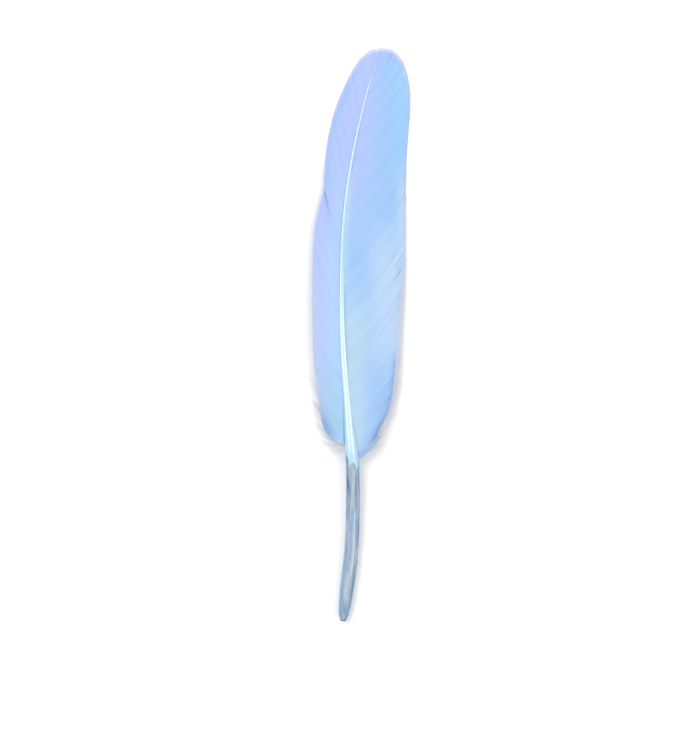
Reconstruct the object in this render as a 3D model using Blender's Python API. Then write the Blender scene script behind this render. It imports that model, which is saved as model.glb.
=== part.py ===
"""A dyed goose quill feather that lies flat with its outer face up, grown as one piece and built as one solid.

Metres, +Y from the quill's blunt end to the tip of the vane, +X to the wide vane, +Z up.
The origin is on the resting surface, under the middle of the feather's box.
"""

import math
from bisect import bisect_right

import bmesh
import bpy
from mathutils import Matrix, Vector

MM = 0.001

# Every outline below is in millimetres. Its second number, and every station's first one, is the distance
# along the feather from the quill's blunt end.
SHAFT_SIDE = ((0, -5.7), (9, -4.6), (24, -2.95), (45, -2.6), (60, -3.4), (85, -5.6), (104, -6.1),
              (122, -5.7), (142, -3.4), (165, 1.6), (180, 6.4))
SHAFT_RISE = ((0, 1.95), (14, 2.1), (30, 2.8), (52, 4.2), (72, 5.2), (95, 5.6), (118, 4.9), (142, 3.2),
              (154, 2.2), (165, 1.4), (176, 0.8), (180, 0.6))
SHAFT_RADIUS = ((0, 0.85), (0.6, 1.2), (2.5, 1.72), (8, 2.1), (14, 2.25), (26, 2.22), (50, 2.15), (58, 1.95),
                (66, 1.6), (84, 1.25), (118, 0.85), (142, 0.62), (165, 0.42), (177, 0.24))
SHAFT_END = 176.5
SHAFT_SIDES = 14
SHAFT_RINGS = 30
# How far up the shaft's radius the vanes grow out of it.
VANE_SEAT = 0.72

# The barbs grow in locks that stand a little over the next one down.
LOCKS = 35
LOCK_CREST = 0.85
LOCK_STEP = 0.22
LOCK_NOTCH = 0.018
VANE_ROOT_THICK = 0.6
VANE_EDGE_THICK = 0.3

# Each side's first barb along the shaft, its outline from the shaft to the tip, where along it the barbs
# end, how they bow, and how far the vane droops at a distance out from the shaft.
NARROW = {
    "start": 54.6,
    "outline": ((-2.9, 54.6), (-7.6, 55.9), (-11.2, 59.2), (-13.0, 66.8), (-15.1, 81), (-15.7, 104), (-15.0, 123),
                (-13.3, 131.2), (-12.0, 135.8), (-11.7, 141.1), (-10.4, 152.6), (-7.2, 163.9), (-1.7, 175.0),
                (2.6, 179.3), (6.5, 180.1)),
    "ends": ((54.6, 12.5), (58, 18.5), (64, 28), (75, 44), (90, 64), (105, 79.5), (130, 105), (145, 118),
             (160, 128.5), (170, 134.3), (176.5, 138)),
    "bows": ((54.6, 0.75), (58, 0.5), (66, 0.25), (90, 0.15), (176.5, 0.1)),
    "droop": 3.6,
    "droop_at": 10.0,
    "columns": 6,
}
WIDE = {
    "start": 49.8,
    "outline": ((-0.4, 51.9), (2.4, 54.5), (6.3, 61.6), (9.6, 68.2), (11.2, 78), (12.5, 93.2), (13.7, 110),
                (14.1, 128), (14.5, 146), (15.6, 162), (15.2, 169.3), (13.2, 176), (10.0, 179.4), (6.5, 180.1)),
    "ends": ((49.8, 8.5), (52, 12), (56, 18.5), (62, 28.5), (75, 46.5), (90, 66), (110, 87.5), (130, 106),
             (145, 118), (158, 126.5), (168, 131.7), (176.5, 136)),
    "bows": ((49.8, 0.0), (60, 0.1), (80, 0.18), (176.5, 0.12)),
    "droop": 3.1,
    "droop_at": 16.0,
    "columns": 9,
}
DROOP_POWER = 1.6

# A split is open between two locks, from a share of the barbs' length outwards, and this wide at the edge.
SPLITS = ((NARROW, 16, 0.45, 1.0), (WIDE, 10, 0.72, 0.5), (WIDE, 2, 0.6, 0.9))

# Loose down at the foot of each vane: tufts that leave the shaft below the vane and reach past its edge.
DOWN = (
    {"side": NARROW, "tufts": 9, "roots": (54.0, 64.0), "edge": (5.0, 28.0), "past": 1.9, "sag": 1.3},
    {"side": WIDE, "tufts": 8, "roots": (52.5, 65.0), "edge": (7.0, 34.0), "past": 2.2, "sag": 1.5},
)
TUFT_RINGS = 7
TUFT_SIDES = 6
TUFT_WIDE = 1.0
TUFT_THICK = 0.42
TUFT_TIP = 0.16
TUFT_BOW = 2.6

VANE_COLOUR = (0.43, 0.62, 0.96, 1.0)
QUILL_COLOUR = (0.62, 0.83, 0.95, 1.0)


def smooth(stations, at):
    """The value at a place on the smooth curve through a list of (place, value) stations."""
    i = min(max(bisect_right([place for place, _ in stations], at) - 1, 0), len(stations) - 2)
    before, start, end = stations[max(i - 1, 0)], stations[i], stations[i + 1]
    after = stations[min(i + 2, len(stations) - 1)]
    step = end[0] - start[0]
    t = min(max((at - start[0]) / step, 0.0), 1.0)
    leave = (end[1] - before[1]) / (end[0] - before[0]) * step
    arrive = (after[1] - start[1]) / (after[0] - start[0]) * step
    rise = start[1] * (2 * t**3 - 3 * t**2 + 1) + end[1] * (3 * t**2 - 2 * t**3)
    return rise + leave * (t**3 - 2 * t**2 + t) + arrive * (t**3 - t**2)


def along(outline, distance):
    """The point of an outline at a distance along it from its first point."""
    x_stations, y_stations, run = [], [], 0.0
    for i, (x, y) in enumerate(outline):
        if i:
            run += math.dist(outline[i - 1], outline[i])
        x_stations.append((run, x))
        y_stations.append((run, y))
    return Vector((smooth(x_stations, distance), smooth(y_stations, distance)))


def curve_point(start, bend, end, t):
    """A point on the curve from start to end that heads for bend first."""
    return start.lerp(bend, t).lerp(bend.lerp(end, t), t)


def barb_point(side, root, reach, shift=0.0):
    """The plan position a share of the way out along the barb that grows at a distance along the shaft."""
    start = Vector((smooth(SHAFT_SIDE, root), root))
    end = along(side["outline"], smooth(side["ends"], root) + shift)
    bow = smooth(side["bows"], root) / 2
    bend = Vector((start.x + (end.x - start.x) * (0.5 + bow), start.y + (end.y - start.y) * (0.5 - bow)))
    return curve_point(start, bend, end, reach)


def vane_height(side, place):
    """The height of a vane's upper face, which droops in an even curve out from the shaft."""
    out = abs(place.x - smooth(SHAFT_SIDE, place.y))
    seat = smooth(SHAFT_RISE, place.y) + VANE_SEAT * smooth(SHAFT_RADIUS, place.y)
    return seat - side["droop"] * (out / side["droop_at"]) ** DROOP_POWER


def lock_rows():
    """The share of the vane's length at which each row of it grows, and whether it is a lock's crest."""
    rows = []
    for lock in range(LOCKS):
        rows.append((lock / LOCKS, 0.0))
        rows.append(((lock + LOCK_CREST) / LOCKS, 1.0))
    rows.append((1.0, 0.5))
    return rows


def split_shift(side, row):
    """How far a row's end moves along the edge to open a split beside it."""
    for split_side, lock, _, width in SPLITS:
        if side is split_side and row == 2 * lock + 1:
            return -width / 2
        if side is split_side and row == 2 * lock + 2:
            return width / 2
    return 0.0


def in_split(side, row, reach):
    """Whether the step above a row is left open at a share of the barbs' length."""
    return any(side is s and row == 2 * lock + 1 and reach > start for s, lock, start, _ in SPLITS)


def vane_mesh(name):
    """Both vanes as one closed sheet, folded about the tip, with a ridge for each lock of barbs."""
    rows = lock_rows()
    narrow, wide = NARROW["columns"], WIDE["columns"]
    columns = narrow + wide
    bm = bmesh.new()
    bmesh.ops.create_grid(bm, x_segments=columns, y_segments=len(rows) - 1, size=0.5)
    under = bm.verts.layers.float.new("under")

    def cell(point):
        column = (point.x + 0.5) * columns - narrow
        side = NARROW if column < -0.01 else WIDE
        return side, abs(column) / side["columns"], (point.y + 0.5) * (len(rows) - 1)

    open_faces = []
    for face in bm.faces:
        side, reach, row = cell(face.calc_center_median())
        if in_split(side, math.floor(row), reach):
            open_faces.append(face)
    for vert in bm.verts:
        side, reach, row = cell(vert.co)
        row = round(row)
        share, crest = rows[row]
        root = side["start"] + (SHAFT_END - side["start"]) * share
        place = barb_point(side, root, reach * (1 - LOCK_NOTCH * (1 - crest)), split_shift(side, row) * reach)
        thick = VANE_ROOT_THICK + (VANE_EDGE_THICK - VANE_ROOT_THICK) * reach
        ridge = LOCK_STEP * crest * math.sin(math.pi * min(reach * 3, 1) / 2)
        vert[under] = max(vane_height(side, place) - thick, 0.0)
        vert.co = Vector((place.x, place.y, vert[under] + thick + ridge)) * MM
    bmesh.ops.delete(bm, geom=open_faces, context="FACES")
    bmesh.ops.remove_doubles(bm, verts=bm.verts[:], dist=1e-6)
    lower = bmesh.ops.extrude_face_region(bm, geom=bm.faces[:], use_keep_orig=True)["geom"]
    for vert in lower:
        if isinstance(vert, bmesh.types.BMVert):
            vert.co.z = vert[under] * MM
    bmesh.ops.recalc_face_normals(bm, faces=bm.faces[:])
    mesh = bpy.data.meshes.new(name)
    bm.to_mesh(mesh)
    bm.free()
    return mesh


def loft_mesh(name, rings):
    """A closed solid through a list of rings, each a placing matrix and a number of sides, flat where it rests."""
    bm = bmesh.new()
    edges = []
    for place, sides in rings:
        ring = bmesh.ops.create_circle(bm, segments=sides, radius=1.0, matrix=place)["verts"]
        edges.append(list({edge for vert in ring for edge in vert.link_edges}))
    for near, far in zip(edges, edges[1:]):
        bmesh.ops.bridge_loops(bm, edges=near + far)
    for loop in (edges[0], edges[-1]):
        bmesh.ops.contextual_create(bm, geom=loop)
    for vert in bm.verts:
        vert.co.z = max(vert.co.z, 0.0)
    bmesh.ops.recalc_face_normals(bm, faces=bm.faces[:])
    mesh = bpy.data.meshes.new(name)
    bm.to_mesh(mesh)
    bm.free()
    mesh.shade_smooth()
    return mesh


def ring_place(centre, heading, half_width, half_height):
    """The matrix of a ring that faces along a heading, with its second axis upright."""
    forward = heading.normalized()
    across = forward.cross(Vector((0, 0, 1))).normalized()
    up = across.cross(forward)
    turn = Matrix((across * half_width, up * half_height, forward)).transposed().to_4x4()
    return Matrix.Translation(centre) @ turn


def shaft_point(distance):
    return Vector((smooth(SHAFT_SIDE, distance), distance, smooth(SHAFT_RISE, distance))) * MM


def shaft_mesh(name):
    """The round quill and the ridge above it, one taper from the blunt end to the tip."""
    rings = []
    for i in range(SHAFT_RINGS + 1):
        distance = SHAFT_END * (i / SHAFT_RINGS) ** 1.35
        radius = smooth(SHAFT_RADIUS, distance) * MM
        heading = shaft_point(distance + 0.5) - shaft_point(distance - 0.5)
        rings.append((ring_place(shaft_point(distance), heading, radius, radius), SHAFT_SIDES))
    return loft_mesh(name, rings)


def tuft_mesh(name, group, number):
    """One tuft of down: a flat tongue that curves out from under the vane and sags towards its tip."""
    share = number / (group["tufts"] - 1)
    side = group["side"]
    root = group["roots"][0] + (group["roots"][1] - group["roots"][0]) * share
    run = group["edge"][0] + (group["edge"][1] - group["edge"][0]) * share
    edge = along(side["outline"], run)
    heading = along(side["outline"], run + 1) - along(side["outline"], run - 1)
    away = Vector((heading.y, -heading.x)).normalized()
    if away.x * edge.x < 0:
        away = -away
    past = group["past"] * (1.3 - 0.6 * share) * (1 + 0.25 * math.sin(2.4 * number))
    start = shaft_point(root) - Vector((0, 0, 0.2 * MM))
    tip_plan = edge + away * past + heading.normalized() * math.sin(1.7 * number + 0.6)
    tip = Vector((tip_plan.x, tip_plan.y, max(vane_height(side, edge) - group["sag"], 2 * TUFT_TIP))) * MM
    bend = start.lerp(tip, 0.62) + Vector((0, -TUFT_BOW * (0.5 + share), 0.2)) * MM
    rings = []
    for i in range(TUFT_RINGS + 1):
        t = i / TUFT_RINGS
        here = curve_point(start, bend, tip, t)
        onward = curve_point(start, bend, tip, t + 0.01) - curve_point(start, bend, tip, t - 0.01)
        swell = math.sin(math.pi * (0.2 + 0.72 * t))
        half_width = (TUFT_TIP + (TUFT_WIDE - TUFT_TIP) * swell) * MM
        half_height = (TUFT_TIP + (TUFT_THICK - TUFT_TIP) * (1 - t)) * MM
        rings.append((ring_place(here, onward, half_width, half_height), TUFT_SIDES))
    return loft_mesh(name, rings)


def finish(name, colour, roughness):
    """A plain material in the part's colour."""
    material = bpy.data.materials.new(name)
    material.use_nodes = True
    shader = material.node_tree.nodes["Principled BSDF"]
    shader.inputs["Base Color"].default_value = colour
    shader.inputs["Roughness"].default_value = roughness
    shader.inputs["Metallic"].default_value = 0.0
    return material


def add_object(mesh, material):
    mesh.materials.append(material)
    obj = bpy.data.objects.new(mesh.name, mesh)
    bpy.context.scene.collection.objects.link(obj)
    return obj


def fuse(base, others):
    """Join the other solids into the base, and leave the base as one plain mesh."""
    for other in others:
        join = base.modifiers.new(other.name, "BOOLEAN")
        join.operation = "UNION"
        join.solver = "EXACT"
        join.material_mode = "TRANSFER"
        join.object = other
    bpy.context.view_layer.update()
    evaluated = base.evaluated_get(bpy.context.evaluated_depsgraph_get())
    joined = bpy.data.meshes.new_from_object(evaluated)
    joined.name = base.name
    base.modifiers.clear()
    base.data = joined
    for other in others:
        bpy.data.objects.remove(other, do_unlink=True)


def centre_on_origin(obj):
    """Slide the mesh so that the middle of its box is over the origin."""
    xs = [vert.co.x for vert in obj.data.vertices]
    ys = [vert.co.y for vert in obj.data.vertices]
    obj.data.transform(Matrix.Translation((-(min(xs) + max(xs)) / 2, -(min(ys) + max(ys)) / 2, 0)))


def build():
    for obj in list(bpy.data.objects):
        bpy.data.objects.remove(obj, do_unlink=True)
    vane_finish = finish("vane", VANE_COLOUR, 0.75)
    quill_finish = finish("quill", QUILL_COLOUR, 0.25)
    feather = add_object(vane_mesh("feather"), vane_finish)
    others = [add_object(shaft_mesh("shaft"), quill_finish)]
    for index, group in enumerate(DOWN):
        for number in range(group["tufts"]):
            others.append(add_object(tuft_mesh(f"tuft_{index}_{number}", group, number), vane_finish))
    fuse(feather, others)
    centre_on_origin(feather)
    feather.data.set_sharp_from_angle(angle=math.radians(40))


build()
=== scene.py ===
"""The looks of a pale blue dyed goose quill feather, lying with its outer face up on a plain white table.

The vanes are single barbs with hooked webs between them, the quill is clear milky horn with dry skins
inside, and the loose down is fine branching threads. Lengths are in metres in the row's frame; the outline
lists are in millimetres, sideways and along the feather from the quill's blunt end.
"""

import math

import bmesh
import bpy
import numpy as np
from mathutils import Matrix, Vector


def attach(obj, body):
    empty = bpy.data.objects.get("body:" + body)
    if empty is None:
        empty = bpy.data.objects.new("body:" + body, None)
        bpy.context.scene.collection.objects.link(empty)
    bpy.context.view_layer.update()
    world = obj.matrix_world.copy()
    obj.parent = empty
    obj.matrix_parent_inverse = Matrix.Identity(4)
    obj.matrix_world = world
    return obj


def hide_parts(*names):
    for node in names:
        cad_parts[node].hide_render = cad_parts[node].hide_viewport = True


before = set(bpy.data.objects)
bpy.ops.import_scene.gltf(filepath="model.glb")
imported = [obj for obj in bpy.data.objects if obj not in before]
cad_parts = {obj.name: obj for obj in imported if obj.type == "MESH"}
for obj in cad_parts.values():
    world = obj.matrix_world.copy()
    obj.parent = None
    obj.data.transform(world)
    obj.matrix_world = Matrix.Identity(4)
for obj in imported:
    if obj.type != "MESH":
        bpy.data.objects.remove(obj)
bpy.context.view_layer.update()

MM = 0.001

# The photograph's frame and scale, and the pixel of the quill's end, which fixes the camera.
PHOTO_WIDE = 679
PHOTO_HIGH = 730
MM_PER_PIXEL = 0.315
QUILL_END_PIXEL = (342.95, 620.0)

# The shaft: how far sideways, how high and how thick, by distance from the quill's end.
SHAFT_SIDE = ((0, -5.7), (9, -4.6), (24, -2.95), (45, -2.6), (60, -3.4), (85, -5.6), (104, -6.1),
              (122, -5.7), (142, -3.4), (165, 1.6), (180, 6.4))
SHAFT_RISE = ((0, 1.95), (14, 2.1), (30, 2.8), (52, 4.2), (72, 5.2), (95, 5.6), (118, 4.9), (142, 3.2),
              (154, 2.2), (165, 1.4), (176, 0.8), (180, 0.6))
SHAFT_RADIUS = ((0, 0.85), (0.6, 1.2), (2.5, 1.72), (8, 2.1), (14, 2.25), (26, 2.22), (50, 2.15), (58, 1.95),
                (66, 1.6), (84, 1.25), (118, 0.85), (142, 0.62), (165, 0.42), (177, 0.24))
SHAFT_END = 176.5
VANE_SEAT = 0.72
LENGTH = 180.1

# Each vane's first barb along the shaft, its outline, where along it the barbs end, how they bow, how the
# vane droops, and how far out on the shaft, as a share of its radius, the barbs come out of it.
NARROW = {
    "hand": -1,
    "start": 55.2,
    "outline": ((-2.9, 54.6), (-7.6, 55.9), (-11.2, 59.2), (-13.0, 66.8), (-15.1, 81), (-15.7, 104),
                (-15.0, 123), (-13.3, 131.2), (-12.0, 135.8), (-11.7, 141.1), (-10.4, 152.6),
                (-7.2, 163.9), (-1.7, 175.0), (2.6, 179.3), (6.5, 180.1)),
    "ends": ((54.6, 12.5), (58, 18.5), (64, 28), (75, 44), (90, 64), (105, 79.5), (130, 105), (145, 118),
             (160, 128.5), (170, 134.3), (176.5, 138)),
    "bows": ((54.6, 0.75), (58, 0.5), (66, 0.25), (90, 0.15), (176.5, 0.1)),
    "droop": 3.6,
    "droop_at": 10.0,
    "seams": ((54.6, 1.0), (61, 0.95), (69, 0.72), (76, 0.68), (85, 0.6), (100, 0.6), (168, 0.52),
              (176.5, 0.2)),
}
WIDE = {
    "hand": 1,
    "start": 49.8,
    "outline": ((-0.4, 51.9), (2.4, 54.5), (6.3, 61.6), (9.6, 68.2), (11.2, 78), (12.5, 93.2), (13.7, 110),
                (14.1, 128), (14.5, 146), (15.6, 162), (15.2, 169.3), (13.2, 176), (10.0, 179.4),
                (6.5, 180.1)),
    "ends": ((49.8, 8.5), (52, 12), (56, 18.5), (62, 28.5), (75, 46.5), (90, 66), (110, 87.5), (130, 106),
             (145, 118), (158, 126.5), (168, 131.7), (176.5, 136)),
    "bows": ((49.8, 0.0), (60, 0.1), (80, 0.18), (176.5, 0.12)),
    "droop": 3.1,
    "droop_at": 16.0,
    "seams": ((49.8, 1.0), (55.9, 0.74), (60.7, 0.44), (68.6, 0.36), (76, 0.45), (85, 0.58), (100, 0.6),
              (168, 0.52), (176.5, 0.2)),
}
DROOP_POWER = 1.6

# The barbs: how many grow on each side, the steps along each and how they crowd at its tip, the least and
# most width of one, its height over the vane, and its section.
BARBS = 380
BARB_STEPS = 20
TIP_CROWDING = 1.15
BARB_WIDTHS = (0.03, 0.6)
BARB_LIFT = 0.1
BARB_RIDGE = 0.05
BARB_TUCK = 0.05
BARB_DEPTH = 0.16
BARB_OVERLAP = 0.62
BARB_TAPER_FROM = 0.955
BARB_TAPER = 0.85
SEAM_SINK = 0.08
SEAM_FADE = 1.5

# How far barbs differ by chance in length, height and tone, how many carry a painted shadow as between
# bunches of barbs and how deep it is, and the slow waves in their height along the vane: size, turn for each
# millimetre, and start.
LENGTH_SPREAD = 0.004
HEIGHT_SPREAD = 0.01
TONE_SPREAD = 0.012
SHADOWED_BARBS = 0.03
BARB_SHADOW = 0.045
WAVES = ((0.07, 0.71, 0.4), (0.05, 0.37, 2.0), (0.03, 1.9, 1.1))

# Where the vanes have parted: the side, the root of the barb there, how wide the parting is at the edge,
# how far along the barbs it starts, how wide a bunch leans away, how far one bunch lies over the other, and
# how deep the painted shade in the crease between them is.
PARTINGS = (
    (NARROW, 113.9, 0.5, 0.62, 2.6, 0.26, 0.3),
    (NARROW, 148.0, 0.1, 0.9, 1.0, 0.03, 0.2),
    (WIDE, 88.3, 0.3, 0.82, 1.2, 0.12, 0.7),
    (WIDE, 89.9, 0.1, 0.84, 0.9, 0.1, 0.5),
    (WIDE, 91.6, 0.2, 0.82, 0.9, 0.1, 0.7),
    (WIDE, 58.8, 0.5, 0.68, 1.4, 0.1, 0.2),
    (WIDE, 62.6, 0.1, 0.6, 0.8, 0.04, 0.15),
    (WIDE, 168.0, 0.1, 0.66, 0.8, 0.06, 0.5),
    (WIDE, 169.3, 0.1, 0.7, 0.8, 0.06, 0.4),
)
NOTCH_ROOT = PARTINGS[0][1]

# How bright this studio's light makes a white surface, so that a colour read on the screen can be undone.
STUDIO_GAIN = 1.15


def srgb(red, green, blue):
    """A colour as it looks on the screen in this studio, as the linear values a shader takes."""
    def line(value):
        share = value / 255
        light = share / 12.92 if share <= 0.04045 else ((share + 0.055) / 1.055) ** 2.4
        return light / STUDIO_GAIN
    return (line(red), line(green), line(blue), 1.0)


# The dye's few hues on the vanes, with a deep blue that is also painted shade in creases, a painted light
# beside the shaft and a painted glow of light along the edge.
LAVENDER = srgb(186, 204, 252)
SKY = srgb(169, 206, 249)
CYAN = srgb(165, 212, 253)
PALE = srgb(195, 220, 248)
INNER = srgb(185, 213, 251)
MILKY = srgb(191, 220, 241)
MIST = srgb(194, 210, 240)
LOW = srgb(171, 214, 244)
DEEP_DYE_AND_SHADE = srgb(137, 165, 219)
RIM_LIGHT = srgb(226, 228, 255)
PAINTED_LIGHT = srgb(214, 242, 255)

# The horn's hues along the ridge, with a painted highlight for its two crests, and the dry skins' in the
# quill.
HORN_TIP = srgb(203, 227, 252)
HORN_MIDDLE = srgb(182, 222, 251)
HORN_FOOT = srgb(206, 239, 250)
HORN_CREST_HIGHLIGHT = srgb(240, 254, 255)
HORN_GROOVE = srgb(190, 222, 238)
HORN_FLANK = srgb(182, 219, 238)
HORN_SEAM = srgb(180, 217, 239)
SKIN_FOLD = srgb(206, 236, 252)
SKIN_WHITE = srgb(255, 255, 255)
SKIN_BLUE = srgb(164, 208, 246)
SCAR = srgb(44, 64, 98)
QUILL_PALE = srgb(166, 202, 238)
QUILL_BLUE = srgb(126, 178, 226)
QUILL_DEEP = srgb(78, 126, 176)
QUILL_MILK = srgb(246, 253, 255)
QUILL_TINT = (0.2, 0.66, 0.9, 1.0)

# The down's hue, and the loose barbs'.
DOWN_WHITE = srgb(240, 245, 255)
STRAND_BLUE = srgb(186, 216, 255)


def smooth(stations, at):
    """Values at one or many places on the smooth curve through a list of (place, value) stations."""
    places = np.array([place for place, _ in stations], float)
    values = np.array([value for _, value in stations], float)
    at = np.asarray(at, float)
    i = np.clip(np.searchsorted(places, at, side="right") - 1, 0, len(places) - 2)
    before = np.maximum(i - 1, 0)
    after = np.minimum(i + 2, len(places) - 1)
    step = places[i + 1] - places[i]
    t = np.clip((at - places[i]) / step, 0.0, 1.0)
    leave = (values[i + 1] - values[before]) / (places[i + 1] - places[before]) * step
    arrive = (values[after] - values[i]) / (places[after] - places[i]) * step
    rise = values[i] * (2 * t**3 - 3 * t**2 + 1) + values[i + 1] * (3 * t**2 - 2 * t**3)
    return rise + leave * (t**3 - 2 * t**2 + t) + arrive * (t**3 - t**2)


def ease(start, end, value):
    """A smooth step from 0 at start to 1 at end, either way round."""
    t = np.clip((np.asarray(value, float) - start) / (end - start), 0.0, 1.0)
    return t * t * (3 - 2 * t)


def between(first, last, share):
    """The place at a share of the way between two."""
    return np.array(first) + (np.array(last) - np.array(first)) * share


def along(outline, distance):
    """The plan position at a distance along an outline from its first point."""
    points = np.array(outline, float)
    runs = np.concatenate([[0.0], np.cumsum(np.linalg.norm(np.diff(points, axis=0), axis=1))])
    across = smooth(list(zip(runs, points[:, 0])), distance)
    forward = smooth(list(zip(runs, points[:, 1])), distance)
    return np.stack([across, forward], axis=-1)


def place_shift():
    """How far the outline lists' origin is from the row's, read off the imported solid's two ends."""
    corners = np.array([vert.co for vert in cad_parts["feather"].data.vertices])
    end = corners[corners[:, 1] < corners[:, 1].min() + 0.1 * MM]
    across = (end[:, 0].min() + end[:, 0].max()) / 2 - SHAFT_SIDE[0][1] * MM
    return np.array([across, corners[:, 1].max() - LENGTH * MM, 0.0])


SHIFT = place_shift()


def to_row(points):
    """Millimetre places by the outline lists as metres in the row's frame."""
    return np.asarray(points, float) * MM + SHIFT


def from_row(points):
    """Metres in the row's frame as millimetre places by the outline lists."""
    return (np.asarray(points, float) - SHIFT) / MM


def barb_paths(side, roots, shares):
    """Plan positions on the barbs that grow at some roots, at each barb's own shares of the way out."""
    start = np.stack([smooth(SHAFT_SIDE, roots), roots], axis=-1)[:, None]
    end = along(side["outline"], smooth(side["ends"], roots))[:, None]
    bow = (smooth(side["bows"], roots) / 2)[:, None]
    bend = start + (end - start) * np.stack([0.5 + bow, 0.5 - bow], axis=-1)
    t = shares[..., None]
    return (1 - t) ** 2 * start + 2 * t * (1 - t) * bend + t**2 * end


def vane_height(side, plan):
    """The height of a vane's upper face, which droops in an even curve out from the shaft."""
    out = np.abs(plan[..., 0] - smooth(SHAFT_SIDE, plan[..., 1]))
    seat = smooth(SHAFT_RISE, plan[..., 1]) + VANE_SEAT * smooth(SHAFT_RADIUS, plan[..., 1])
    return seat - side["droop"] * (out / side["droop_at"]) ** DROOP_POWER


def seam_shares(side, roots):
    """The share of each barb's way out from the shaft's middle at which it leaves the shaft's surface."""
    first = barb_paths(side, roots, np.broadcast_to([0.0, 0.05], (len(roots), 2)))
    slope = smooth(SHAFT_SIDE, roots + 0.5) - smooth(SHAFT_SIDE, roots - 0.5)
    outward = np.abs(first[:, 1, 0] - smooth(SHAFT_SIDE, first[:, 1, 1])) / np.hypot(1, slope) / 0.05
    wanted = smooth(side["seams"], roots) * smooth(SHAFT_RADIUS, roots)
    return np.clip(wanted / np.maximum(outward, 0.1), 0.01, 0.16)


def parting_lean(side, roots, shares):
    """How far each point of each barb leans along the edge from the partings, and how far it rises."""
    lean = np.zeros(shares.shape)
    lift = np.zeros(shares.shape)
    for parted, root, width, start, spread, step, _ in PARTINGS:
        if parted is side:
            away = roots - root
            near = np.sign(away)[:, None] * np.exp(-np.abs(away) / spread)[:, None] * ease(start, 1.0, shares)
            lean += near * width / 2
            lift += near * step
    return lean, lift


def add_piece(name, mesh, material):
    """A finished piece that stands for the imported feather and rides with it."""
    mesh.name = name
    mesh.materials.append(material)
    piece = bpy.data.objects.new(name, mesh)
    bpy.context.scene.collection.objects.link(piece)
    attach(piece, "root")
    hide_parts("feather")
    return piece


def mesh_from_arrays(name, places, faces):
    """One mesh from many copies of a small shape, already in place, with its faces turned outwards."""
    mesh = bpy.data.meshes.new(name)
    mesh.from_pydata(to_row(places.reshape(-1, 3)).tolist(), [], faces)
    mesh.shade_smooth()
    bm = bmesh.new()
    bm.from_mesh(mesh)
    bmesh.ops.recalc_face_normals(bm, faces=bm.faces[:])
    bm.to_mesh(mesh)
    bm.free()
    return mesh


def strip_faces(count, steps, sides, first=0):
    """The faces of count closed strips, each steps long with a ring of sides corners, and its two ends."""
    strip = np.arange(count)[:, None, None]
    step = np.arange(steps)[None, :, None]
    side = np.arange(sides)[None, None, :]
    low = (strip * (steps + 1) + step) * sides
    onward = (side + 1) % sides
    quads = np.stack([low + side, low + onward, low + sides + onward, low + sides + side], axis=-1)
    start = np.arange(count)[:, None] * (steps + 1) * sides + np.arange(sides)[None, ::-1]
    end = np.arange(count)[:, None] * (steps + 1) * sides + steps * sides + np.arange(sides)[None]
    return (quads.reshape(-1, 4) + first).tolist() + (start + first).tolist() + (end + first).tolist()


def barb_plan(side, roots, shares, dice):
    """The plan line of each barb, with its own small difference in length, leaning from the partings."""
    plan = barb_paths(side, roots, shares)
    reach = dice.normal(0, LENGTH_SPREAD, len(roots))[:, None, None] * shares[..., None] ** 3
    plan = plan[:, :1] + (plan - plan[:, :1]) * (1 + reach)
    ends = smooth(side["ends"], roots)
    edge_run = along(side["outline"], ends + 0.5) - along(side["outline"], ends - 0.5)
    lean, lift = parting_lean(side, roots, shares)
    return plan + lean[..., None] * edge_run[:, None], lift


def barb_heights(side, roots, shares, plan, dice):
    """The height of each barb: on the shaft's surface at its root, then on the drooping vane."""
    height = vane_height(side, plan)
    seam = smooth(side["seams"], roots)
    radius = smooth(SHAFT_RADIUS, roots)
    root_height = smooth(SHAFT_RISE, roots) + radius * np.sqrt(np.maximum(1 - seam**2, 0)) - SEAM_SINK
    out = np.abs(plan[..., 0] - smooth(SHAFT_SIDE, plan[..., 1])) - (seam * radius)[:, None]
    height += (root_height - height[:, 0])[:, None] * np.exp(-np.maximum(out, 0) / SEAM_FADE)
    wave = sum(size * np.sin(roots * turn + start) for size, turn, start in WAVES)
    height = height + BARB_LIFT + wave[:, None] * ease(0.1, 0.9, shares)
    return height + dice.normal(0, HEIGHT_SPREAD, len(roots))[:, None]


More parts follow.
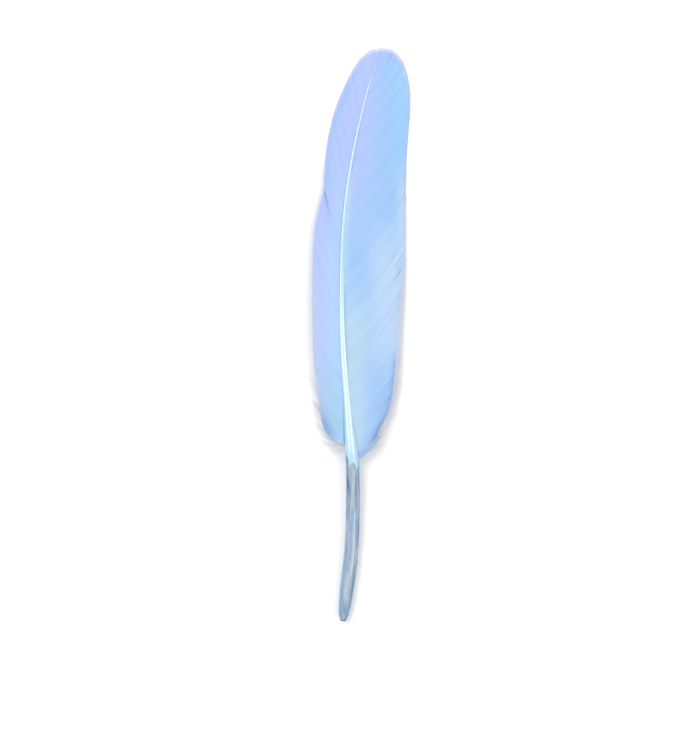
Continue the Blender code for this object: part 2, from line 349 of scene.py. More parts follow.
def vane_mesh(name, side, seed):
    """A vane of separate barbs, each a low roof with its upper web over the next barb's lower one."""
    dice = np.random.default_rng(seed)
    roots = np.linspace(side["start"], SHAFT_END, BARBS)
    steps = 1 - (1 - np.linspace(0, 1, BARB_STEPS + 1)) ** TIP_CROWDING
    first = seam_shares(side, roots)[:, None]
    shares = first + (1 - first) * steps[None]

    even = barb_paths(side, roots, shares)
    tangent = np.gradient(even, axis=1)
    tangent /= np.linalg.norm(tangent, axis=-1, keepdims=True)
    upward = np.stack([-tangent[..., 1], tangent[..., 0]], axis=-1) * side["hand"]
    gap = np.abs((np.diff(even, axis=0) * upward[:-1]).sum(-1))
    gap = np.clip(np.concatenate([gap, gap[-1:]]), *BARB_WIDTHS)

    plan, lift = barb_plan(side, roots, shares, dice)
    taper = 1 - BARB_TAPER * ease(BARB_TAPER_FROM, 1.0, shares)
    half = gap * BARB_OVERLAP * taper
    height = np.maximum(barb_heights(side, roots, shares, plan, dice) + lift, BARB_DEPTH + 0.03)

    section = ((-1.0, -BARB_TUCK), (0.0, -BARB_DEPTH), (1.0, 0.0), (-0.1, BARB_RIDGE))
    corners = np.empty((BARBS, BARB_STEPS + 1, len(section), 3))
    for corner, (out, up) in enumerate(section):
        corners[:, :, corner, :2] = plan + upward * (half * out)[..., None]
        corners[:, :, corner, 2] = height + up * (0.35 + 0.65 * taper)
    mesh = mesh_from_arrays(name, corners, strip_faces(BARBS, BARB_STEPS, len(section)))

    length = np.linalg.norm(np.diff(even, axis=1), axis=-1).sum(1)[:, None]
    tone = barb_tones(roots, dice)[:, None, None]
    colours = vane_colours(side, roots, plan[..., 1], shares, (1 - shares) * length) * tone
    paint(mesh, "dye", np.repeat(colours[:, :, None], len(section), axis=2))
    lay_barb_maps(mesh, steps, len(section))
    return mesh


def barb_tones(roots, dice):
    """A small difference in tone for each barb, with soft bands of several barbs, and a painted shadow on a
    few.
    """
    tone = 1 + dice.normal(0, TONE_SPREAD, len(roots))
    tone += 0.014 * np.sin(roots * 0.9 + 1.0) + 0.01 * np.sin(roots * 2.3)
    # A few barbs get a painted shadow, as of the gaps between bunches of barbs.
    shadowed = dice.random(len(roots)) < SHADOWED_BARBS
    return tone - BARB_SHADOW * shadowed


def plain(shape, colour):
    """One colour at each place, for others to be blended into."""
    return np.broadcast_to(np.array(colour[:3]), tuple(shape) + (3,)).copy()


def blend(fields, colour, amount):
    """Mix a colour into the fields by a share at each place."""
    fields += (np.array(colour[:3]) - fields) * np.clip(amount, 0, 1)[..., None]


def vane_colours(side, roots, forward, share, from_edge):
    """The dye over a vane as a few soft washes, with painted shade in its creases, painted light beside the
    shaft and a painted glow of light along the edge.
    """
    below = NOTCH_ROOT - roots[:, None]
    if side is NARROW:
        fields = plain(share.shape, LAVENDER)
        blend(fields, INNER, ease(0.85, 0.3, share) * ease(152, 126, forward))
        blend(fields, SKY, 0.5 * ease(0.65, 0.85, share) * ease(130, 140, forward) * ease(173, 163, forward))
        blend(fields, MIST, 0.8 * ease(0.5, 0.9, share) * ease(122, 100, forward))
        blend(fields, LOW, 0.8 * ease(92, 62, forward) * ease(0.95, 0.5, share))
        blend(fields, DEEP_DYE_AND_SHADE, 0.9 * ease(68, 58, forward) * ease(0.45, 1.0, share))
        blend(fields, DEEP_DYE_AND_SHADE, 0.6 * ease(60.5, 56, roots)[:, None] * ease(0.2, 0.65, share))
        # Painted light on the barbs next to the shaft.
        blend(fields, PAINTED_LIGHT, 0.6 * ease(0.12, 0.02, share) * ease(112, 95, forward))
        # Painted shade in the crease where the upper bunch at the notch lies over the lower one.
        crease_shade = np.where(below > 0, np.exp(-below / 1.4), 0) * ease(0.55, 0.8, share)
        blend(fields, DEEP_DYE_AND_SHADE, 0.7 * crease_shade)
    else:
        fields = plain(share.shape, SKY)
        blend(fields, LAVENDER, 0.7 * ease(0.55, 0.15, share) * ease(112, 140, forward))
        blend(fields, LAVENDER, 0.6 * ease(173, 180, forward))
        blend(fields, CYAN, 0.8 * ease(0.55, 0.8, share) * ease(130, 150, forward) * ease(178, 170, forward))
        blend(fields, PALE, 0.9 * ease(132, 110, forward) * ease(66, 84, forward) * ease(0.25, 0.6, share))
        blend(fields, PALE, 0.8 * ease(148, 134, forward) * ease(0.75, 0.92, share) * ease(84, 96, forward))
        blend(fields, MILKY, 0.9 * ease(112, 90, forward) * ease(0.65, 0.15, share))
        blend(fields, SKY, 0.8 * ease(90, 74, forward) * ease(0.15, 0.5, share))
        blend(fields, MIST, 0.8 * ease(112, 106, forward) * ease(84, 92, forward) * ease(0.8, 0.92, share))
        blend(fields, DEEP_DYE_AND_SHADE, 0.6 * ease(86, 80, forward) * ease(0.78, 0.95, share))
        blend(fields, DEEP_DYE_AND_SHADE, 0.85 * ease(76, 58, forward) * ease(0.45, 1.0, share))
        # Painted light on the barbs next to the shaft, where the ridge's shadow falls.
        blend(fields, PAINTED_LIGHT, 0.8 * ease(0.1, 0.0, share) * ease(98, 108, forward) * ease(145, 131, forward))
        blend(fields, PAINTED_LIGHT, 0.5 * ease(0.08, 0.0, share) * ease(84, 74, forward))
    # Painted shade in the crease along each parting, on the barbs beside it.
    for parted, root, _, start, _, _, shade_depth in PARTINGS:
        if parted is side:
            crease_shade = np.exp(-(((roots - root) / 0.3) ** 2))[:, None] * ease(start - 0.06, start + 0.04, share)
            blend(fields, DEEP_DYE_AND_SHADE, shade_depth * crease_shade * ease(1.0, 0.9, share))
    # A painted pale glow of light through the thin barbs along the edge.
    blend(fields, RIM_LIGHT, 0.9 * ease(1.2, 0.5, from_edge) * ease(60, 74, forward))
    return fields


def paint(mesh, name, colours):
    """Store a colour for each vertex."""
    layer = mesh.color_attributes.new(name, "FLOAT_COLOR", "POINT")
    full = np.ones((len(mesh.vertices), 4), np.float32)
    full[:, :3] = np.clip(colours.reshape(-1, 3), 0, 1)
    layer.data.foreach_set("color", full.ravel())


def lay_barb_maps(mesh, steps, sides):
    """Two maps: the barb's own, in millimetres along and across it, and one with a row for each barb."""
    corner = np.empty(len(mesh.loops), int)
    mesh.loops.foreach_get("vertex_index", corner)
    ring = corner % sides
    share = steps[(corner // sides) % len(steps)]
    barb = corner // sides // len(steps)
    row = (np.array([0.1, 0.9, 0.55, 0.32])[ring] + barb) / BARBS
    baked = np.stack([0.01 + 0.98 * share, 0.005 + 0.99 * row], axis=-1)
    own = np.stack([share * 25.0, ring / 4 + barb * 1.37], axis=-1)
    for name, places in (("barb", own), ("OFBake", baked)):
        layer = mesh.uv_layers.new(name=name)
        layer.data.foreach_set("uv", places.astype(np.float32).ravel())


def ring_matrix(distance, radius):
    """Where a ring of the shaft stands, in the row's frame, square to the shaft."""
    def point(at):
        return Vector(to_row([float(smooth(SHAFT_SIDE, at)), at, float(smooth(SHAFT_RISE, at))]))
    forward = (point(distance + 0.5) - point(distance - 0.5)).normalized()
    across = forward.cross(Vector((0, 0, 1))).normalized()
    turn = Matrix((across * radius * MM, across.cross(forward) * radius * MM, forward)).transposed().to_4x4()
    return Matrix.Translation(point(distance)) @ turn


def loft(bm, rings, sides, shape, lowest=0.0):
    """Add a closed body through rings of (distance, radius), flat at a lowest height where it would be lower.

    The shape gives each corner's push outwards and its slide along the shaft.
    """
    loops = []
    for index, (distance, radius) in enumerate(rings):
        made = bmesh.ops.create_circle(bm, segments=sides, radius=1.0)["verts"]
        for vert in made:
            angle = math.atan2(vert.co.y, vert.co.x)
            push, slide = shape(distance, angle, index)
            rim = Vector((math.cos(angle), math.sin(angle), 0))
            vert.co = ring_matrix(distance + slide, radius * push) @ rim
            vert.co.z = max(vert.co.z, lowest * MM)
        loops.append(list({edge for vert in made for edge in vert.link_edges}))
    for near, far in zip(loops, loops[1:]):
        bmesh.ops.bridge_loops(bm, edges=near + far)
    for loop in (loops[0], loops[-1]):
        bmesh.ops.contextual_create(bm, geom=loop)


def mesh_of(bm, name):
    """The mesh made by bmesh operators, smooth and facing out."""
    bmesh.ops.recalc_face_normals(bm, faces=bm.faces[:])
    mesh = bpy.data.meshes.new(name)
    bm.to_mesh(mesh)
    bm.free()
    mesh.shade_smooth()
    return mesh


def shaft_places(mesh):
    """For each vertex, its distance along the shaft, its angle from the top, and its distance out."""
    places = from_row([vert.co for vert in mesh.vertices])
    across = places[:, 0] - smooth(SHAFT_SIDE, places[:, 1])
    up = places[:, 2] - smooth(SHAFT_RISE, places[:, 1])
    return places[:, 1], np.arctan2(across, up), np.hypot(across, up)


def shaft_radius(distance):
    """How thick the shaft is at a distance, from its middle."""
    return float(smooth(SHAFT_RADIUS, distance))


# The ridge: where it is full, how far it stands out of the shaft, its groove's depth and half width round
# the shaft, and how far from the groove the painted highlight lines on the crests lie and how wide they are.
RIDGE_SIDES = 84
RIDGE_FULL = 54.4
RIDGE_RINGS = 110
RIDGE_PROUD = 0.02
GROOVE_DEPTH = 0.1
GROOVE_ANGLE = 0.11
GROOVE_WIDTH = 0.17
HIGHLIGHT_OFF = 0.45
HIGHLIGHT_WIDTH = 0.15

# Where the white pith has its uneven lower end on the horn, by the angle round from the top.
PITH_END = ((-3.2, 51.4), (-2.7, 49.6), (-2.2, 51.0), (-1.6, 53.4), (-1.1, 53.0), (-0.85, 52.2),
            (-0.62, 50.8), (-0.45, 48.5), (-0.28, 49.5), (0.2, 49.7), (0.4, 49.4), (0.72, 47.5),
            (0.95, 49.0), (1.3, 51.2), (1.9, 49.4), (2.4, 51.2), (3.2, 51.4))
# The rings of that end: the share of the way from it to the full ridge, and how far out of the horn each is.
PITH_RINGS = ((0.12, -0.35), (0.0, -0.05), (0.03, 0.01), (0.2, 0.03), (0.4, 0.03), (0.6, 0.03), (0.8, 0.03))


def groove_lean(distance):
    """How far the groove leans to the narrow side towards the quill, as an angle round the shaft."""
    return 0.2 * ease(74, 62, distance) - 0.11 * ease(60, 55, distance)


def ridge_shape(distance, angle, index):
    """The ridge's section: two low swells beside a fine groove on top, and an uneven lower end."""
    around = math.atan2(math.cos(angle), math.sin(angle))
    slide, push = 0.0, 1.0
    if 0 < index <= len(PITH_RINGS):
        share, proud = PITH_RINGS[index - 1]
        end = float(smooth(PITH_END, around)) + 0.15 * math.sin(9 * around) + 0.12 * math.sin(23 * around + 1)
        slide = (end - RIDGE_FULL) * (1 - share)
        push = shaft_radius(RIDGE_FULL + slide) + proud
    low = float(ease(52, 58, distance + slide) * ease(116, 84, distance + slide))
    off_groove = (around + float(groove_lean(distance + slide))) / GROOVE_ANGLE
    return push - GROOVE_DEPTH * low * math.exp(-(off_groove**2)), slide


def ridge_mesh(name):
    """The pith-filled ridge, with its lower end lying over the top of the clear quill."""
    rings = [(RIDGE_FULL - 0.6, 1.0)]
    rings += [(RIDGE_FULL, 1.0)] * len(PITH_RINGS)
    for i in range(RIDGE_RINGS + 1):
        distance = RIDGE_FULL + (SHAFT_END - RIDGE_FULL) * i / RIDGE_RINGS
        rings.append((distance, shaft_radius(distance) + RIDGE_PROUD))
    rings.append((SHAFT_END + 0.6, 0.08))
    bm = bmesh.new()
    loft(bm, rings, RIDGE_SIDES, ridge_shape)
    mesh = mesh_of(bm, name)
    distance, angle, _ = shaft_places(mesh)
    paint(mesh, "horn", ridge_colours(distance, np.abs(angle + groove_lean(distance))))
    return mesh


def ridge_colours(distance, angle):
    """Pale at the tip, whiter towards the quill, with painted highlight lines on the two crests beside the
    groove.
    """
    fields = plain(distance.shape, HORN_TIP)
    blend(fields, LAVENDER, 0.9 * ease(167, 172, distance))
    blend(fields, HORN_MIDDLE, ease(152, 120, distance))
    blend(fields, HORN_FOOT, ease(108, 86, distance))
    off_groove = angle * smooth(SHAFT_RADIUS, distance)
    highlight = np.exp(-(((off_groove - HIGHLIGHT_OFF) / HIGHLIGHT_WIDTH) ** 2))
    blend(fields, HORN_FLANK, ease(82, 62, distance) * ease(0.65, 1.0, off_groove))
    # Painted highlight lines on the crests either side of the groove.
    blend(fields, HORN_CREST_HIGHLIGHT, 0.9 * ease(122, 88, distance) * highlight)
    blend(fields, HORN_GROOVE, ease(112, 78, distance) * np.exp(-((off_groove / GROOVE_WIDTH) ** 2)))
    blend(fields, HORN_SEAM, 0.85 * ease(56.5, 50.5, distance))
    return fields


# The quill: the rings of its rounded end, where its even rings start and end, and its sink under the pith.
QUILL_SIDES = 64
QUILL_STEPS = 150
QUILL_CAP = ((0.0, 0.5), (0.06, 0.8))
QUILL_ROUND = (0.35, 0.8, 1.4, 2.2, 3.2, 4.4, 5.8)
QUILL_EVEN = 7.0
QUILL_TOP = 54.0
QUILL_SINK_FROM = 51.2
QUILL_SINK = 0.3

# The horn's darker and milkier streaks: middle angle, half width, first and last distance, strength. The
# darker ones along its edges are a painted shade, and the milky one at its blunt end is a painted glint.
DARK_STREAKS_AND_EDGE_SHADE = ((-0.95, 0.38, 30, 53, 1.0), (0.38, 0.13, 33, 48, 0.9), (0.3, 0.09, 46, 51, 0.9),
                (1.15, 0.25, 2, 46, 0.9), (0.75, 0.18, 0, 16, 0.5), (-0.75, 0.12, 16, 32, 0.4),
                (0.65, 0.1, 14, 30, 0.5), (-1.2, 0.2, 0, 30, 0.4))
MILK_STREAKS_AND_GLINT = ((-0.1, 0.2, 34, 52, 0.9), (0.75, 0.12, 30, 46, 0.6), (0.3, 0.15, 14, 33, 0.9),
                (-0.35, 0.2, 20, 30, 0.5), (-0.2, 0.3, 6, 17, 0.8), (-0.45, 0.1, 12, 24, 0.5),
                (0.0, 0.4, 6.2, 8.8, 0.8), (0.05, 0.3, 0.5, 1.7, 1.0))


def streaked(distance, angle, streaks):
    """How strongly a list of streaks shows at each place; each one wanders a little and fades at its ends."""
    shown = np.zeros(len(distance))
    for number, (middle, width, first, last, strength) in enumerate(streaks):
        drift = middle + 0.07 * np.sin(0.31 * distance + number)
        fade = min(3, (last - first) / 2)
        ends = ease(first, first + fade, distance) * ease(last, last - fade, distance)
        shown = np.maximum(shown, strength * ends * np.exp(-(((angle - drift) / width) ** 2)))
    return shown


def quill_shape(distance, angle, index):
    """The horn is not quite round, and a little uneven along its length."""
    uneven = 0.01 * math.sin(2 * angle + 0.11 * distance) + 0.006 * math.sin(3 * angle - 0.23 * distance)
    return 1 + uneven, 0.0


def quill_mesh(name):
    """The clear horn of the quill, from its blunt end to where the ridge comes out of it."""
    rings = list(QUILL_CAP)
    rings += [(at, shaft_radius(at)) for at in QUILL_ROUND]
    for i in range(QUILL_STEPS + 1):
        distance = QUILL_EVEN + (QUILL_TOP - QUILL_EVEN) * i / QUILL_STEPS
        sink = QUILL_SINK * float(ease(QUILL_SINK_FROM, QUILL_TOP, distance))
        rings.append((distance, shaft_radius(distance) - sink))
    bm = bmesh.new()
    loft(bm, rings, QUILL_SIDES, quill_shape)
    mesh = mesh_of(bm, name)
    distance, angle, _ = shaft_places(mesh)
    fields = plain(distance.shape, QUILL_PALE)
    blend(fields, QUILL_BLUE, 0.7 * ease(32, 42, distance) + 0.8 * ease(7, 3, distance))
    # Darker streaks; those along the horn's edges are a painted shade.
    blend(fields, QUILL_DEEP, streaked(distance, angle, DARK_STREAKS_AND_EDGE_SHADE))
    # Milky streaks; the short one at the blunt end is a painted glint.
    blend(fields, QUILL_MILK, 0.85 * streaked(distance, angle, MILK_STREAKS_AND_GLINT))
    paint(mesh, "horn", fields)
    return mesh


# The skins in the quill: where they start and end, how much of the horn they fill, and where they draw in.
SKIN_SIDES = 44
SKIN_RINGS = 150
SKIN_FROM = 1.5
SKIN_TO = 48.4
SKIN_FILL = 0.7
SKIN_LOWEST = 0.3
SKIN_NECKS = (3.6, 5.1, 7.4, 10.2, 13.9, 18.8, 25.5, 34.0)


def skin_shape(distance, angle, index):
    """Long crumpled folds that wander round the tube, drawn in where thin skins cross it."""
    turn = 0.35 * math.sin(0.21 * distance)
    folds = 0.065 * math.sin(3 * angle + 0.16 * distance + turn)
    folds += 0.05 * math.sin(7 * angle - 0.31 * distance + 2.1 * turn)
    folds += 0.025 * math.sin(13 * angle + 1.1 * distance) + 0.02 * math.sin(2.3 * distance + 2 * angle)
    for neck in SKIN_NECKS:
        folds -= 0.12 * math.exp(-(((distance - neck - 0.3 * math.sin(angle)) / 0.22) ** 2))
    return 1 + folds, 0.2 * math.sin(5 * angle + distance)


def skins_mesh(name):
    """The dry skin of the quill: one long crumpled sheath inside the horn."""
    bm = bmesh.new()
    rings = []
    for i in range(SKIN_RINGS + 1):
        distance = SKIN_FROM + (SKIN_TO - SKIN_FROM) * i / SKIN_RINGS
        ends = min(1.0, 0.25 + 0.75 * min(i, SKIN_RINGS - i) / 4)
        rings.append((distance, shaft_radius(distance) * SKIN_FILL * ends))
    loft(bm, rings, SKIN_SIDES, skin_shape, SKIN_LOWEST)
    mesh = mesh_of(bm, name)
    distance, angle, out = shaft_places(mesh)
    fields = plain(distance.shape, SKIN_FOLD)
    blend(fields, SKIN_WHITE, ease(0.64, 0.76, out / smooth(SHAFT_RADIUS, distance)))
    patches = np.sin(0.23 * distance + 0.6) + 0.8 * np.sin(0.51 * distance - 2.0 * angle)
    blend(fields, SKIN_BLUE, 0.55 * ease(0.5, 1.5, patches))
    paint(mesh, "skin", fields)
    return mesh


SCAR_SIDES = 32
SCAR_RINGS = ((-0.04, 0.42), (0.0, 0.6), (0.07, 0.87), (0.32, 1.08), (0.4, 1.0))


def scar_mesh(name):
    """The thin dark scar round the quill's blunt end."""
    bm = bmesh.new()
    loft(bm, SCAR_RINGS, SCAR_SIDES, quill_shape)
    return mesh_of(bm, name)


# The down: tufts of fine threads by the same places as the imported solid's tufts. A hair's length is its
# usual one, how far it differs by chance, and its least.
DOWN = (
    {"side": NARROW, "tufts": 9, "roots": (54.0, 64.0), "edge": (5.0, 28.0), "past": 1.9, "sag": 1.3},
    {"side": WIDE, "tufts": 8, "roots": (52.5, 65.0), "edge": (7.0, 34.0), "past": 2.2, "sag": 1.5},
)
TUFT_BOW = 2.6
THREADS = 7
THREAD_STEPS = 18
THREAD_RADIUS = (0.03, 0.012)
THREAD_FAN = (0.5, 0.9, 0.22)
THREAD_LOWEST = 0.12
HAIRS = 40
HAIR_STEPS = 3
HAIR_RADIUS = (0.012, 0.006)
HAIR_LONG = (0.9, 0.35, 0.15)
HAIR_LOWEST = 0.05


def tuft_course(group, number):
    """The start, bend and tip of a tuft of down."""
    share = number / (group["tufts"] - 1)
    side = group["side"]
    root = float(between(*group["roots"], share))
    run = float(between(*group["edge"], share))
    edge = along(side["outline"], run)
    heading = along(side["outline"], run + 1) - along(side["outline"], run - 1)
    heading = heading / np.linalg.norm(heading)
    away = np.array([heading[1], -heading[0]])
    if away[0] * edge[0] < 0:
        away = -away
    past = group["past"] * (1.3 - 0.6 * share) * (1 + 0.25 * math.sin(2.4 * number))
    start = np.array([smooth(SHAFT_SIDE, root), root, smooth(SHAFT_RISE, root) - 0.2])
    plan = edge + away * past + heading * math.sin(1.7 * number + 0.6)
    tip = np.array([plan[0], plan[1], max(float(vane_height(side, edge)) - group["sag"], 0.32)])
    bend = start + (tip - start) * 0.62 + np.array([0, -TUFT_BOW * (0.5 + share), 0.2])
    return start, bend, tip


def thread_path(course, dice):
    """One thread of a tuft: near its course at the root, fanned and curled towards its tip."""
    start, bend, tip = course
    t = np.linspace(0.12, 1, THREAD_STEPS + 1)[:, None]
    path = (1 - t) ** 2 * start + 2 * t * (1 - t) * bend + t**2 * tip
    path = path + dice.normal(0, 1, 3) * np.array(THREAD_FAN) * t**1.5
    curl = dice.uniform(0, math.tau, 2)
    path[:, 0] += 0.22 * t[:, 0] ** 2 * np.sin(7 * t[:, 0] + curl[0])
    path[:, 1] += 0.26 * t[:, 0] ** 2 * np.sin(8 * t[:, 0] + curl[1])
    path[:, 2] = np.maximum(path[:, 2] + 0.7 * t[:, 0] ** 3, THREAD_LOWEST)
    return path


def hair_rings(path, thickness):
    """Three-cornered rings round a path, from one radius at its root to another at its tip."""
    radius = np.linspace(thickness[0], thickness[1], len(path))
    run = np.gradient(path, axis=0)
    run /= np.linalg.norm(run, axis=1, keepdims=True)
    across = np.cross(run, [0.0, 0.0, 1.0])
    across /= np.maximum(np.linalg.norm(across, axis=1, keepdims=True), 1e-6)
    up = np.cross(across, run)
    turn = np.arange(3) / 3 * math.tau + math.pi / 2
    ring = across[:, None] * np.cos(turn)[None, :, None] + up[:, None] * np.sin(turn)[None, :, None]
    return path[:, None] + ring * radius[:, None, None]


def hairs_of(path, dice):
    """The hairs of one thread, leaning towards its tip, shorter at both ends of it."""
    found = []
    for index in range(HAIRS):
        at = 0.3 + 0.68 * index / (HAIRS - 1)
        low = min(int(at * THREAD_STEPS), THREAD_STEPS - 1)
        run = path[low + 1] - path[low]
        base = path[low] + run * (at * THREAD_STEPS - low)
        run = run / np.linalg.norm(run)
        across = np.array([-run[1], run[0], 0.0]) * (1 if index % 2 else -1)
        usual, chance, least = HAIR_LONG
        fullness = math.sin(math.pi * (0.12 + 0.8 * (at - 0.3) / 0.7))
        long = max((usual + chance * dice.normal()) * fullness, least)
        tip = base + (run * 0.75 + across * 0.7 + np.array([0, 0, dice.normal(0, 0.2)])) * long
        bend = base + (run * 0.2 + across * 0.6) * long * 0.7
        t = np.linspace(0, 1, HAIR_STEPS + 1)[:, None]
        hair = (1 - t) ** 2 * base + 2 * t * (1 - t) * bend + t**2 * tip
        hair[:, 2] = np.maximum(hair[:, 2], HAIR_LOWEST)
        found.append(hair_rings(hair, HAIR_RADIUS))
    return found


def down_mesh(name, group, seed):
    """Fine threads with finer hairs down both sides, joined in one mesh."""
    dice = np.random.default_rng(seed)
    threads = []
    hairs = []
    for number in range(group["tufts"]):
        course = tuft_course(group, number)
        for _ in range(THREADS):
            path = thread_path(course, dice)
            threads.append(hair_rings(path, THREAD_RADIUS))
            hairs += hairs_of(path, dice)
    places = np.concatenate([np.array(threads).reshape(-1, 3), np.array(hairs).reshape(-1, 3)])
    faces = strip_faces(len(threads), THREAD_STEPS, 3)
    faces += strip_faces(len(hairs), HAIR_STEPS, 3, len(threads) * (THREAD_STEPS + 1) * 3)
    return mesh_from_arrays(name, places, faces)


# Barbs that have come loose below the wide vane: where the first and the last of them start and end, how far
# their middles bow towards the quill, and how far and which way their tips differ.
LOOSE_COUNT = 11
LOOSE_STEPS = 12
LOOSE_RADIUS = (0.15, 0.08)
LOOSE_STARTS = ((-1.2, 50.5, 4.9), (-0.8, 52.9, 5.0))
LOOSE_ENDS = ((6.2, 58.0, 4.1), (4.8, 58.5, 4.3))
LOOSE_BOWS = (0.75, 0.35)
LOOSE_TIP = (0.325, 0.38)


def loose_mesh(name):
    """The loose barbs side by side, each thick at its root and slightly bent."""
    rings = []
    for number in range(LOOSE_COUNT):
        share = number / (LOOSE_COUNT - 1)
        end = between(*LOOSE_ENDS, share)
        end[:2] += math.sin(2.1 * number) * np.array(LOOSE_TIP)
        t = np.linspace(0, 1, LOOSE_STEPS + 1)[:, None]
        path = between(between(*LOOSE_STARTS, share), end, t)
        bow = np.sin(math.pi * t[:, 0])
        path[:, 2] += 0.5 * bow
        path[:, 1] -= between(*LOOSE_BOWS, share) * bow
        path[:, 0] += 0.06 * math.cos(2.7 * number) * bow
        rings.append(hair_rings(path, LOOSE_RADIUS))
    return mesh_from_arrays(name, np.array(rings), strip_faces(LOOSE_COUNT, LOOSE_STEPS, 3))


def shader_of(name):
    """A new material with its nodes, its links and its Principled shader."""
    material = bpy.data.materials.new(name)
    material.use_nodes = True
    tree = material.node_tree
    return material, tree.nodes, tree.links, tree.nodes["Principled BSDF"]


def spread(nodes, links, source, low, high):
    """A value from low to high by a noise's middle range."""
    made = nodes.new("ShaderNodeMapRange")
    made.inputs["From Min"].default_value = 0.3
    made.inputs["From Max"].default_value = 0.7
    made.inputs["To Min"].default_value = low
    made.inputs["To Max"].default_value = high
    links.new(source, made.inputs["Value"])
    return made.outputs["Result"]


def scaled(nodes, links, tone):
    """A node that makes a colour lighter and darker by a tone."""
    made = nodes.new("ShaderNodeVectorMath")
    made.operation = "SCALE"
    links.new(tone, made.inputs["Scale"])
    return made


def toned(nodes, links, attribute, tone):
    """A piece's painted colour, made lighter and darker by a tone."""
    painted = nodes.new("ShaderNodeAttribute")
    painted.attribute_name = attribute
    made = scaled(nodes, links, tone)
    links.new(painted.outputs["Color"], made.inputs[0])
    return made.outputs["Vector"]


def one_hue(nodes, links, colour, tone):
    """A single colour, made lighter and darker by a tone."""
    made = scaled(nodes, links, tone)
    made.inputs[0].default_value = colour[:3]
    return made.outputs["Vector"]


def roughened(nodes, links, source, strength, distance):
    """The surface raised and lowered by a value."""
    bump = nodes.new("ShaderNodeBump")
    bump.inputs["Strength"].default_value = strength
    bump.inputs["Distance"].default_value = distance
    links.new(source, bump.inputs["Height"])
    return bump.outputs["Normal"]


def noise_of(nodes, links, vector, scale, stretch, detail):
    """Noise over a map or coordinates, drawn out by a stretch along each axis."""
    mapping = nodes.new("ShaderNodeMapping")
    mapping.inputs["Scale"].default_value = stretch
    links.new(vector, mapping.inputs["Vector"])
    noise = nodes.new("ShaderNodeTexNoise")
    noise.inputs["Scale"].default_value = scale
    noise.inputs["Detail"].default_value = detail
    links.new(mapping.outputs["Vector"], noise.inputs["Vector"])
    return noise.outputs["Fac"]


def lengthwise_noise(nodes, links, scale, stretch):
    """Noise drawn out along the feather, in the piece's own coordinates."""
    place = nodes.new("ShaderNodeTexCoord")
    return noise_of(nodes, links, place.outputs["Object"], scale, (1.0, 1.0 / stretch, 1.0), 4.0)


def silk(name):
    """Dyed barbs: the dye's own colour with fine streaks along each barb, and a soft silky gloss."""
    material, nodes, links, shader = shader_of(name)
    barb_map = nodes.new("ShaderNodeUVMap")
    barb_map.uv_map = "barb"
    streak = noise_of(nodes, links, barb_map.outputs["UV"], 1.0, (0.9, 5.0, 1.0), 3.0)
    colour = toned(nodes, links, "dye", spread(nodes, links, streak, 0.955, 1.02))
    links.new(colour, shader.inputs["Base Color"])
    links.new(spread(nodes, links, streak, 0.54, 0.64), shader.inputs["Roughness"])
    hooks = nodes.new("ShaderNodeTexWave")
    hooks.wave_type = "BANDS"
    hooks.bands_direction = "DIAGONAL"
    hooks.inputs["Scale"].default_value = 3.2
    hooks.inputs["Distortion"].default_value = 0.6
    links.new(barb_map.outputs["UV"], hooks.inputs["Vector"])
    links.new(roughened(nodes, links, hooks.outputs["Fac"], 0.2, 0.00003), shader.inputs["Normal"])
    shader.inputs["Sheen Weight"].default_value = 0.1
    shader.inputs["Sheen Roughness"].default_value = 0.4
    shader.inputs["Specular IOR Level"].default_value = 0.4
    return material


def ridge_horn(name):
    """Pale waxy horn over white pith, with fine streaks along it under a clear gloss."""
    material, nodes, links, shader = shader_of(name)
    streak = lengthwise_noise(nodes, links, 1500.0, 40.0)
    colour = toned(nodes, links, "horn", spread(nodes, links, streak, 0.94, 1.03))
    links.new(colour, shader.inputs["Base Color"])
    links.new(roughened(nodes, links, streak, 0.15, 0.00004), shader.inputs["Normal"])
    shader.inputs["Roughness"].default_value = 0.3
    shader.inputs["Coat Weight"].default_value = 0.5
    shader.inputs["Coat Roughness"].default_value = 0.12
    return material


def clear_horn(name):
    """The quill's horn, clear but for milky streaks along it, and tinted by its thickness."""
    material, nodes, links, shader = shader_of(name)
    streak = lengthwise_noise(nodes, links, 1500.0, 16.0)
    painted = nodes.new("ShaderNodeAttribute")
    painted.attribute_name = "horn"
    milk = nodes.new("ShaderNodeMix")
    milk.data_type = "RGBA"
    milk.inputs["B"].default_value = QUILL_MILK
    links.new(painted.outputs["Color"], milk.inputs["A"])
    links.new(spread(nodes, links, streak, -0.2, 0.8), milk.inputs["Factor"])
    links.new(milk.outputs["Result"], shader.inputs["Base Color"])
    ripple = lengthwise_noise(nodes, links, 700.0, 14.0)
    links.new(roughened(nodes, links, ripple, 0.25, 0.00006), shader.inputs["Normal"])
    shader.inputs["Transmission Weight"].default_value = 0.52
    shader.inputs["Roughness"].default_value = 0.08
    shader.inputs["IOR"].default_value = 1.5
    tint = nodes.new("ShaderNodeVolumeAbsorption")
    tint.inputs["Color"].default_value = QUILL_TINT
    tint.inputs["Density"].default_value = 160.0
    links.new(tint.outputs["Volume"], nodes["Material Output"].inputs["Volume"])
    return material


def dry_skin(name):
    """The papery skins inside the quill."""
    material, nodes, links, shader = shader_of(name)
    streak = lengthwise_noise(nodes, links, 1400.0, 9.0)
    colour = toned(nodes, links, "skin", spread(nodes, links, streak, 0.75, 1.1))
    links.new(colour, shader.inputs["Base Color"])
    shader.inputs["Roughness"].default_value = 0.35
    return material


def dark_scar(name):
    """The dark dried end of the quill."""
    material, nodes, links, shader = shader_of(name)
    grain = lengthwise_noise(nodes, links, 2500.0, 1.0)
    colour = one_hue(nodes, links, SCAR, spread(nodes, links, grain, 0.7, 1.3))
    links.new(colour, shader.inputs["Base Color"])
    shader.inputs["Roughness"].default_value = 0.4
    return material


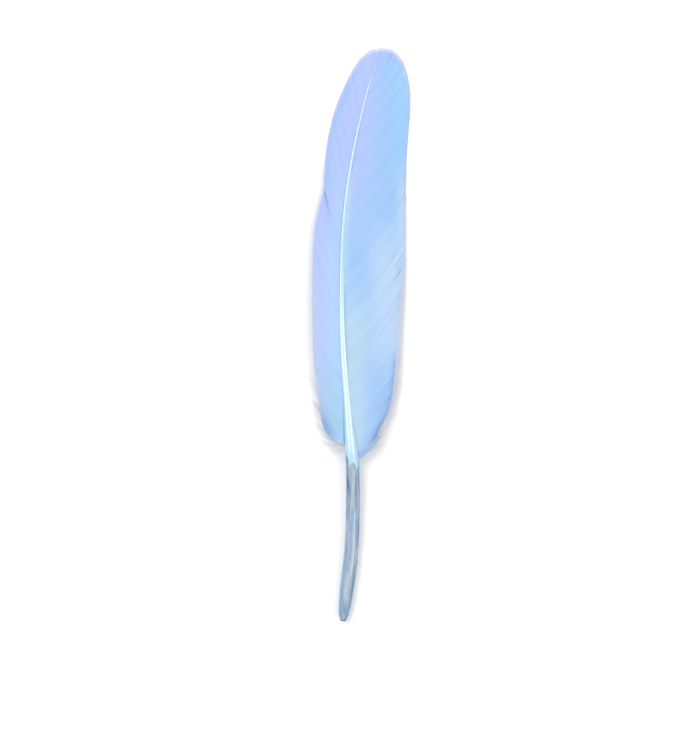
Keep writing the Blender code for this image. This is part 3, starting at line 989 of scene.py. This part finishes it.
def down_thread(name, hue):
    """Pale dyed down, or a loose barb."""
    material, nodes, links, shader = shader_of(name)
    shade = lengthwise_noise(nodes, links, 400.0, 1.0)
    colour = one_hue(nodes, links, hue, spread(nodes, links, shade, 0.9, 1.0))
    links.new(colour, shader.inputs["Base Color"])
    shader.inputs["Roughness"].default_value = 0.6
    shader.inputs["Sheen Weight"].default_value = 0.2
    return material


def table_top():
    """A plain white surface under the feather."""
    bm = bmesh.new()
    bmesh.ops.create_grid(bm, x_segments=1, y_segments=1, size=3.0)
    floor = bpy.data.objects.new("table_top", mesh_of(bm, "table_top"))
    bpy.context.scene.collection.objects.link(floor)
    material, _, _, shader = shader_of("white_table")
    shader.inputs["Base Color"].default_value = (0.93, 0.93, 0.93, 1)
    shader.inputs["Roughness"].default_value = 0.8
    shader.inputs["Specular IOR Level"].default_value = 0.1
    floor.data.materials.append(material)


def soft_light(name, place, size, power):
    """A square studio light that faces the feather."""
    lamp = bpy.data.lights.new(name, "AREA")
    lamp.shape = "SQUARE"
    lamp.size = size
    lamp.energy = power
    holder = bpy.data.objects.new(name, lamp)
    holder.location = place
    holder.rotation_mode = "QUATERNION"
    holder.rotation_quaternion = (-Vector(place)).to_track_quat("-Z", "Y")
    bpy.context.scene.collection.objects.link(holder)


def studio():
    """An even white room with one large light above and to the left."""
    world = bpy.data.worlds.new("white_room")
    world.use_nodes = True
    world.node_tree.nodes["Background"].inputs["Color"].default_value = (1, 1, 1, 1)
    world.node_tree.nodes["Background"].inputs["Strength"].default_value = 0.72 * STUDIO_GAIN
    bpy.context.scene.world = world
    soft_light("left_light", (-0.45, 0.35, 0.8), 0.5, 3.8 * STUDIO_GAIN)
    soft_light("right_light", (0.5, -0.1, 0.7), 0.4, 1.3 * STUDIO_GAIN)
    bpy.context.scene.view_settings.view_transform = "Standard"


LENS_MM = 100.0
SENSOR_MM = 36.0


def camera():
    """Straight above, as the photograph was taken, with the feather at its place and size in the frame."""
    across = (PHOTO_WIDE / 2 - QUILL_END_PIXEL[0]) * MM_PER_PIXEL + SHAFT_SIDE[0][1]
    forward = (QUILL_END_PIXEL[1] - PHOTO_HIGH / 2) * MM_PER_PIXEL
    distance = PHOTO_HIGH * MM_PER_PIXEL / SENSOR_MM * LENS_MM
    data = bpy.data.cameras.new("camera")
    data.lens = LENS_MM
    data.sensor_width = SENSOR_MM
    data.clip_start = 0.01
    holder = bpy.data.objects.new("camera", data)
    holder.location = to_row([across, forward, distance])
    bpy.context.scene.collection.objects.link(holder)
    bpy.context.scene.camera = holder


def make_feather():
    """Every piece of the feather."""
    barbs = silk("dyed_silk")
    fluff = down_thread("pale_down", DOWN_WHITE)
    strand = down_thread("blue_barb", STRAND_BLUE)
    add_piece("narrow_vane", vane_mesh("narrow_vane", NARROW, 11), barbs)
    add_piece("wide_vane", vane_mesh("wide_vane", WIDE, 12), barbs)
    add_piece("ridge", ridge_mesh("ridge"), ridge_horn("pale_horn"))
    add_piece("quill", quill_mesh("quill"), clear_horn("clear_horn"))
    add_piece("quill_skins", skins_mesh("quill_skins"), dry_skin("dry_skin"))
    add_piece("quill_scar", scar_mesh("quill_scar"), dark_scar("dark_scar"))
    add_piece("narrow_down", down_mesh("narrow_down", DOWN[0], 21), fluff)
    add_piece("wide_down", down_mesh("wide_down", DOWN[1], 22), fluff)
    add_piece("loose_barbs", loose_mesh("loose_barbs"), strand)


make_feather()
table_top()
studio()
camera()
